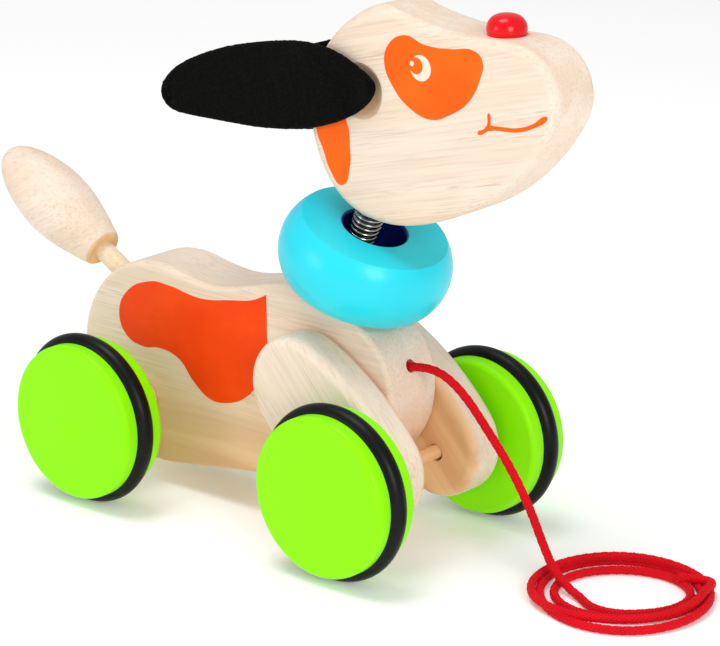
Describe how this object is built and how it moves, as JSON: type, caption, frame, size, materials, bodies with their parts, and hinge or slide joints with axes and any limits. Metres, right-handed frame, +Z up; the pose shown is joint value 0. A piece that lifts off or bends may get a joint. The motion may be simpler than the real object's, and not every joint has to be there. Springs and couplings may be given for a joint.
{
  "type": "pull-along toy",
  "caption": "Wooden puppy pull toy: flat torso and head joined by a spring neck in a loose ring, felt ears, tyred disc wheels on axles, braided pull cord",
  "frame": {"origin": "on the floor, under the middle of the toy's box without its cord", "axes": "+X towards the nose, +Y the puppy's left, +Z up"},
  "size_m": [0.3133, 0.1012, 0.1934],
  "materials": {
    "bare_wood": "pale rubberwood, sanded, matt clear coat",
    "dowel_wood": "plain birch dowel, sanded",
    "green_paint": "lime green lacquer on wood, satin gloss",
    "blue_paint": "cyan blue lacquer on wood, satin gloss",
    "red_paint": "red lacquer on wood, gloss",
    "black_rubber": "soft black rubber, satin",
    "spring_steel": "bright drawn wire",
    "black_felt": "pressed wool felt, matt",
    "red_cord": "braided polyester cord, soft sheen"
  },
  "bodies": {
    "frame": {"torso": "bare_wood", "front_leg_left": "bare_wood", "front_leg_right": "bare_wood", "tail_dowel": "dowel_wood", "tail_bead": "bare_wood", "cord": "red_cord", "cord_coil": "red_cord"},
    "front_wheel_set": {"front_axle": "dowel_wood", "front_wheel_left": "green_paint", "front_wheel_right": "green_paint", "front_tyre_left": "black_rubber", "front_tyre_right": "black_rubber", "front_spacer_left": "dowel_wood", "front_spacer_right": "dowel_wood"},
    "rear_wheel_set": {"rear_axle": "dowel_wood", "rear_wheel_left": "green_paint", "rear_wheel_right": "green_paint", "rear_tyre_left": "black_rubber", "rear_tyre_right": "black_rubber", "rear_spacer_left": "dowel_wood", "rear_spacer_right": "dowel_wood"},
    "neck": {"neck_spring": "spring_steel"},
    "collar": {"collar_ring": "blue_paint"},
    "head": {"head": "bare_wood", "nose": "red_paint"},
    "left_ear": {"ear_left": "black_felt"},
    "right_ear": {"ear_right": "black_felt"}
  },
  "joints": [
    {"name": "front_axle_spin", "type": "hinge", "parent": "frame", "child": "front_wheel_set", "pos_m": [0.06545, 0, 0.031], "axis": [0, 1, 0], "continuous": true},
    {"name": "rear_axle_spin", "type": "hinge", "parent": "frame", "child": "rear_wheel_set", "pos_m": [-0.05105, 0, 0.031], "axis": [0, 1, 0], "continuous": true},
    {"name": "neck_nod", "type": "hinge", "parent": "frame", "child": "neck", "pos_m": [0.0295, 0, 0.0795], "axis": [0, 1, 0], "range_deg": [-8, 4], "stiffness_Nm_per_rad": 1.2, "springref_deg": -2.41},
    {"name": "head_sway", "type": "hinge", "parent": "neck", "child": "head", "pos_m": [0.05279, 0, 0.12944], "axis": [0.9063, 0, -0.4226], "range_deg": [-8, 8], "stiffness_Nm_per_rad": 0.9},
    {"name": "collar_spin", "type": "hinge", "parent": "neck", "child": "collar", "pos_m": [0.0442, 0, 0.1001], "axis": [0.3584, 0, 0.9336], "continuous": true},
    {"name": "right_ear_flap", "type": "hinge", "parent": "head", "child": "right_ear", "pos_m": [0.05713, -0.0117, 0.16221], "axis": [-0.1513, 0, 0.9885], "range_deg": [0, 30], "stiffness_Nm_per_rad": 0.02},
    {"name": "left_ear_flap", "type": "hinge", "parent": "head", "child": "left_ear", "pos_m": [0.05696, 0.0117, 0.16298], "axis": [0.2807, 0, -0.9598], "range_deg": [0, 30], "stiffness_Nm_per_rad": 0.02}
  ]
}
